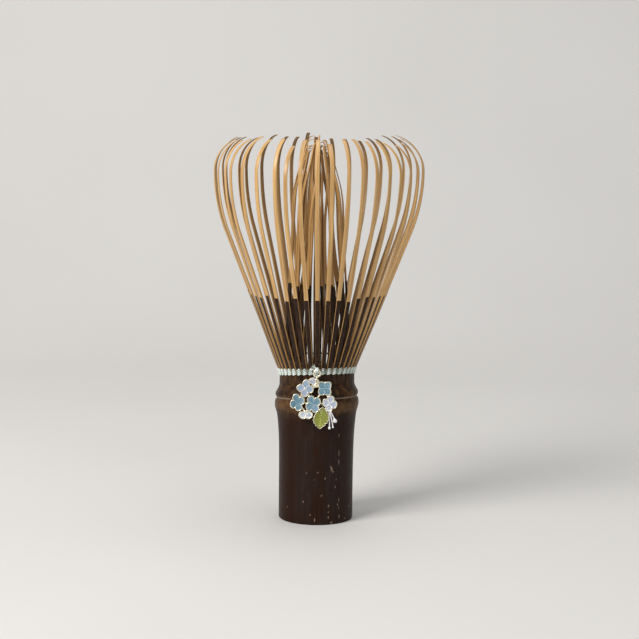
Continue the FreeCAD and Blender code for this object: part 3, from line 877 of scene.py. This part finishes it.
def add_rim(shape, outline, back, front, half):
    """A rounded wall that follows a closed outline, from back to front."""
    count = len(outline)
    profile = ((-half, back), (-half, front + 0.06), (-half * 0.5, front), (half * 0.5, front),
               (half, front + 0.06), (half, back))
    points = []
    for index, (x, z) in enumerate(outline):
        before, after = outline[index - 1], outline[(index + 1) % count]
        along = Vector((after[0] - before[0], after[1] - before[1])).normalized()
        for offset, depth in profile:
            points.append((x + along.y * offset, depth, z - along.x * offset))
    faces = [tuple(reversed(face)) for face in skin_rings(count, len(profile), closed_path=True)]
    shape.add(points, faces)


def add_plate(shape, outline, back, front):
    """A flat plate with a given outline."""
    count = len(outline)
    points = [(x, depth, z) for depth in (front, back) for x, z in outline]
    faces = [tuple(range(count)), tuple(reversed(range(count, 2 * count)))]
    shape.add(points, faces + between(count, 0, count))


def add_enamel(shape, flower, front, chance):
    """A flower's enamel: dished petals with raised folds between them, climbing to the rim. The folds are
    paler, partly in their own colour and partly as painted highlight, and the middle has a painted highlight.
    """
    outline, folds = flower_outline(flower, 0.08)
    count = len(outline)
    (x0, z0), tone = flower.middle, flower.tone
    shades = [chance.uniform(-0.09, 0.09) for _ in range(5)]
    points, tones = [(x0, front + 0.05, z0)], [tone + 0.15]
    for ring in range(1, ENAMEL_RINGS + 1):
        share = ring / ENAMEL_RINGS
        dish = 0.15 * math.sin(math.pi * min(share, 0.92)) ** 0.8
        for index, (x, z) in enumerate(outline):
            petal = int((index / count * 4 + 0.5) % 4)
            ridge = folds[index] * (1 - 0.5 * share)
            vein = 0.5 + 0.5 * math.cos(math.radians(360.0 * index / count * 9.0))
            points.append((mix(x0, x, share), front + 0.05 + dish * (1 - 0.8 * ridge) + 0.015 * vein * share,
                           mix(z0, z, share)))
            # Paler folds: partly their own pale colour, partly painted highlight. The paler middle is painted
            # highlight.
            tones.append(tone + shades[petal] + 0.42 * ridge + 0.30 * share ** 5 + 0.10 * (1 - share) ** 2
                         - 0.05 * vein * share)
    points += [(x, front + 0.35, z) for x, z in outline]
    tones += [tone] * count
    afters = [(step + 1) % count for step in range(count)]
    faces = [(0, 1 + step, 1 + after) for step, after in enumerate(afters)]
    for ring in range(ENAMEL_RINGS):
        low, high = 1 + ring * count, 1 + (ring + 1) * count
        faces += [(low + step, high + step, high + after, low + after) for step, after in enumerate(afters)]
    faces.append(tuple(reversed(range(high, high + count))))
    shape.add(points, faces, tone=tones)


def add_beads(shape, flower, front):
    """A white bead at the flower's middle with four smaller ones round it, between the petals."""
    x, z = flower.middle
    shape.add(*sphere((x, front + 0.04, z), 0.27), tone=BEAD_TONE)
    for quarter in range(4):
        spot = math.radians(flower.turn + 45 + 90 * quarter)
        shape.add(*sphere((x + 0.46 * math.cos(spot), front + 0.08, z + 0.46 * math.sin(spot)), 0.16, 6, 8),
                  tone=BEAD_TONE)


# The leaf: its top (x, z) and length, half its width, its teeth a side, and its lean to the right at its top.
LEAF_TOP = (1.37, 36.35)
LEAF_LENGTH = 6.5
LEAF_HALF_WIDTH = 2.2
LEAF_TEETH = 8
LEAF_SLANT = 0.12
LEAF_STEPS = 90


def leaf_half_width(share):
    """Half the leaf's width at a share of its length from the top. Its lower part is toothed."""
    body = LEAF_HALF_WIDTH * math.sin(math.pi * share ** 1.10) ** 0.85
    saw = (share * LEAF_TEETH) % 1.0
    return body + 0.48 * (saw - 0.45) * smoothstep(0.30, 0.50, share) * (1 - smoothstep(0.93, 1.0, share))


def leaf_spot(aside, down):
    """A place on the leaf (x, z), which leans a little to the right at its top."""
    return LEAF_TOP[0] + aside + LEAF_SLANT * (LEAF_LENGTH / 2 - down), LEAF_TOP[1] - down


def leaf_outline(inset=0.0):
    """The leaf's toothed outline, down its right side and up its left."""
    right = []
    for index in range(LEAF_STEPS + 1):
        share = index / LEAF_STEPS
        half = max(leaf_half_width(share) - inset, 0.0)
        right.append((half, inset * (1 - 2 * share) + LEAF_LENGTH * share))
    left = [(-half, down) for half, down in reversed(right[1:-1])]
    return [leaf_spot(aside, down) for aside, down in right + left]


def make_leaf(green):
    """The leaf's enamel, with a raised midrib and slanting side veins."""
    shape = Shape()
    rows, columns = 110, 30
    front = CHARM_FRONT + 0.02
    points, tones = [], []
    for row in range(rows + 1):
        share = row / rows
        half = max(leaf_half_width(share) - 0.08, 0.01)
        for column in range(columns + 1):
            across = 2 * column / columns - 1
            slope = abs(across) * half
            vein = abs(((share * LEAF_LENGTH - slope * 0.85) / 0.80) % 1.0 - 0.5) * 2
            ridge = smoothstep(0.50, 0.95, vein) * (1 - smoothstep(0.85, 1.0, abs(across)))
            ridge = max(ridge, 1 - smoothstep(0.05, 0.18, slope))
            dish = 0.16 * (1 - across * across)
            x, z = leaf_spot(across * half, 0.1 + (LEAF_LENGTH - 0.2) * share)
            points.append((x, front + 0.10 + dish - 0.10 * ridge, z))
            edge = smoothstep(0.75, 1.0, abs(across)) * (1 - smoothstep(0.0, 0.45, share))
            tones.append(0.30 + 0.45 * ridge + 0.18 * share - 0.25 * edge)
    size = columns + 1
    faces = [(row * size + col, (row + 1) * size + col, (row + 1) * size + col + 1, row * size + col + 1)
             for row in range(rows) for col in range(columns)]
    count = len(points)
    points += [(x, front + 0.5, z) for x, _, z in points]
    tones += [0.2] * count
    faces += [tuple(index + count for index in reversed(face)) for face in faces]
    edge = [*range(size), *range(size + columns, count, size)]
    edge += [*range(count - 2, count - size - 1, -1), *range(count - 2 * size, 0, -size)]
    faces += [(here, after, after + count, here + count) for here, after in zip(edge, edge[1:] + edge[:1])]
    shape.add(points, faces, tone=tones)
    shape.settle("leaf_enamel", [green], "charm", "enamel_leaf")


def make_charm(gold, enamel):
    """The casting with its rims, plates, bars and eye, and the enamel of each flower with its beads."""
    chance = random.Random(31)
    casting = Shape()
    for letter, flower in FLOWERS.items():
        front = CHARM_FRONT + flower.behind
        add_rim(casting, flower_outline(flower)[0], CHARM_BACK, front, 0.13)
        add_plate(casting, flower_outline(flower, 0.05)[0], CHARM_BACK, front + 0.30)
        fill = Shape()
        add_enamel(fill, flower, front, chance)
        if letter == BEADED:
            add_beads(fill, flower, front)
        fill.settle(f"petals_{letter}", [enamel], "charm", f"enamel_flower_{letter}")
    middles = {letter: flower.middle for letter, flower in FLOWERS.items()}
    ends = [(middles[first], BAR_DEPTH, middles[second]) for first, second in BARS]
    ends += [(middles[letter], BAR_DEPTH, leaf_spot(0.0, 2.0)) for letter in "ef"]
    ends += [(NECK, BAR_DEPTH, middles[letter]) for letter in "abc"]
    ends.append(((0.0, EYE_HEIGHT - EYE_RADIUS), HANG_FRONT + 0.22, NECK))
    for (x0, z0), depth, (x1, z1) in ends:
        shares = [part / 6 for part in range(7)]
        path = [(mix(x0, x1, share), mix(depth, BAR_DEPTH, share), mix(z0, z1, share)) for share in shares]
        casting.add(*tube(path, BAR_RADIUS, 10))
    add_rim(casting, leaf_outline(), CHARM_BACK, CHARM_FRONT, 0.08)
    add_plate(casting, leaf_outline(0.05), CHARM_BACK, CHARM_BACK - 0.35)
    eye = []
    for step in range(40):
        turn = math.tau * step / 40
        eye.append((EYE_RADIUS * math.cos(turn), HANG_FRONT, EYE_HEIGHT + EYE_RADIUS * math.sin(turn)))
    casting.add(*tube(eye, 0.17, 12, closed=True))
    casting.settle("charm_casting", [gold], "charm", "charm_frame")


# Each bud: where its stem leaves the flower and where its tip is (x, z), and the radius of its drop.
BUD_DEPTH = -13.475
STEM_RADIUS = 0.19
BUDS = {
    "bud_1": ((4.10, 34.95), (5.43, 32.10), 0.60),
    "bud_2": ((3.60, 34.90), (3.80, 29.95), 0.42),
    "bud_3": ((3.85, 34.90), (4.85, 30.25), 0.30),
}


def make_buds(white):
    """The three white buds: a thin stem that swells into a drop at its tip."""
    for name, (foot, tip, bulb) in BUDS.items():
        start, end = Vector((foot[0], BUD_DEPTH, foot[1])), Vector((tip[0], BUD_DEPTH, tip[1]))
        way = (end - start).normalized()
        length = (end - start).length + bulb
        path, taper = [], []
        for step in range(41):
            share = step / 40
            back = (1 - share) * length
            if back < bulb:
                drop = math.sqrt(max(1 - ((back - bulb) / bulb) ** 2, 0.0))
            else:
                drop = math.exp(-((back - bulb) / (bulb * 1.5)) ** 2)
            bow = Vector((0.12 * math.sin(math.pi * share), 0, 0))
            path.append(start + way * (length * share) + bow)
            taper.append(max(bulb * drop, STEM_RADIUS if back > bulb * 0.4 else 0.02))
        shape = Shape()
        shape.add(*tube(path, 1.0, 14, taper=taper), tone=0.5)
        shape.settle(f"pearl_{name}", [white], "charm", name)


# Piece, body, node, radius, wire radius, height, and whether it is seen edge-on. Half the closing cut, and
# where on the ring it is, are in radians.
RINGS = (("jump_ring", "ring", "charm_ring", 0.99, 0.28, 46.3, False),
         ("small_link", "link", "charm_link", 0.8, 0.16, 44.95, True))
RING_CUT = 0.03
CUT_PLACE = 0.6


def make_rings(gold):
    """The jump ring and the small link, each with its closing cut."""
    for name, body, node, radius, wire, height, upright in RINGS:
        path = []
        for step in range(73):
            turn = RING_CUT + (math.tau - 2 * RING_CUT) * step / 72 + CUT_PLACE
            flat, up = radius * math.cos(turn), radius * math.sin(turn)
            path.append((0.0, HANG_FRONT + flat, height + up) if upright else (flat, HANG_FRONT, height + up))
        shape = Shape()
        shape.add(*tube(path, wire, 16))
        shape.settle(name, [gold], body, node)


# ---- camera, floor and light

def make_stage():
    """A pale seamless floor that curves up behind."""
    nodes = Nodes("pale_floor")
    tint = nodes.noise("object", (0.004, 0.004, 0.004), 2.0)
    colour = nodes.ramp(tint, (0.3, (0.60, 0.59, 0.575)), (0.7, (0.64, 0.63, 0.615)))
    floor = nodes.finish(colour, Roughness=0.75)
    profile = [(-900.0, 0.0), (260.0, 0.0)]
    profile += [(260.0 + 240.0 * math.sin(turn), 240.0 * (1 - math.cos(turn)))
                for turn in (math.pi / 2 * step / 12 for step in range(1, 13))]
    profile.append((500.0, 1400.0))
    points = [(x, y, z) for y, z in profile for x in (-1500.0, 1500.0)]
    faces = [(2 * row, 2 * row + 1, 2 * row + 3, 2 * row + 2) for row in range(len(profile) - 1)]
    shape = Shape()
    shape.add(points, faces)
    shape.piece("studio_floor", [floor])


def make_camera():
    """The viewing angle: a long lens a little above the whisk's top, looking slightly down."""
    data = bpy.data.cameras.new("view")
    data.sensor_width = 36.0
    data.lens = 97.75
    data.clip_start = 0.01
    data.clip_end = 20.0
    camera = bpy.data.objects.new("view", data)
    bpy.context.scene.collection.objects.link(camera)
    turn = Matrix.Rotation(math.radians(90 - 7.7), 4, "X") @ Matrix.Rotation(math.radians(0.65), 4, "Z")
    camera.matrix_world = Matrix.Translation(Vector((0.56, -515.0, 130.0)) * MM) @ turn
    bpy.context.scene.camera = camera


def make_lights():
    """Soft studio light: a key from the upper left, a weaker fill, one from above, and a gentle world."""
    for name, spot, size, power, colour in (
            ("key", (-520.0, -480.0, 560.0), 0.40, 7.4, (1.0, 0.98, 0.95)),
            ("fill", (560.0, -560.0, 260.0), 0.7, 1.2, (0.95, 0.97, 1.0)),
            ("top", (60.0, 60.0, 800.0), 0.6, 2.2, (1.0, 1.0, 1.0))):
        data = bpy.data.lights.new(name, "AREA")
        data.size = size
        data.energy = power
        data.color = colour
        lamp = bpy.data.objects.new(name, data)
        bpy.context.scene.collection.objects.link(lamp)
        lamp.location = Vector(spot) * MM
        aim = Vector((0, 0, 60)) * MM - lamp.location
        lamp.rotation_euler = aim.to_track_quat("-Z", "Y").to_euler()
    world = bpy.data.worlds.new("soft_world")
    world.use_nodes = True
    background = world.node_tree.nodes["Background"].inputs
    background["Color"].default_value = (0.80, 0.80, 0.80, 1.0)
    background["Strength"].default_value = 0.32
    bpy.context.scene.world = world
    bpy.context.scene.view_settings.view_transform = "Standard"


make_camera()
flesh_outer = flesh_material("shaved_bamboo", (0.45, 0.255, 0.088), (0.68, 0.425, 0.165),
                             (0.16, 0.075, 0.025))
# The inner tines' flesh is darker as painted shade for the inside of the bundle.
flesh_inner = flesh_material("inner_bamboo", (0.34, 0.175, 0.050), (0.58, 0.33, 0.105), (0.12, 0.055, 0.02))
# The pith's darker brown is partly the inner faces' own colour and partly painted shade for the far tines.
pith = flesh_material("bamboo_pith", (0.23, 0.125, 0.042), (0.40, 0.235, 0.085), (0.10, 0.048, 0.017))
culm_skin = smoked_skin("smoked_skin")
pale_thread = thread_material()
gold_plate = gold_material()
make_handle(culm_skin, flesh_outer)
make_outer_tines(flesh_outer, culm_skin, pith)
make_inner_tines(flesh_inner, culm_skin, pith)
make_threads(pale_thread)
make_knot(pale_thread)
make_rings(gold_plate)
# The petal ramp's palest stops give the white beads and the folds' painted highlights.
make_charm(gold_plate, enamel_material(
    "enamel_petal", (0.0, (0.06, 0.14, 0.18)), (0.28, (0.12, 0.25, 0.31)), (0.58, (0.29, 0.39, 0.51)),
    (0.80, (0.40, 0.42, 0.53)), (0.94, (0.64, 0.74, 0.74)), (1.0, (0.86, 0.81, 0.79))))
make_leaf(enamel_material("enamel_leaf_green", (0.0, (0.075, 0.085, 0.003)), (0.40, (0.17, 0.185, 0.010)),
                          (0.75, (0.31, 0.335, 0.035)), (1.0, (0.48, 0.50, 0.13))))
make_buds(enamel_material("enamel_pearl", (0.2, (0.66, 0.64, 0.67)), (0.8, (0.84, 0.83, 0.85))))
make_stage()
make_lights()
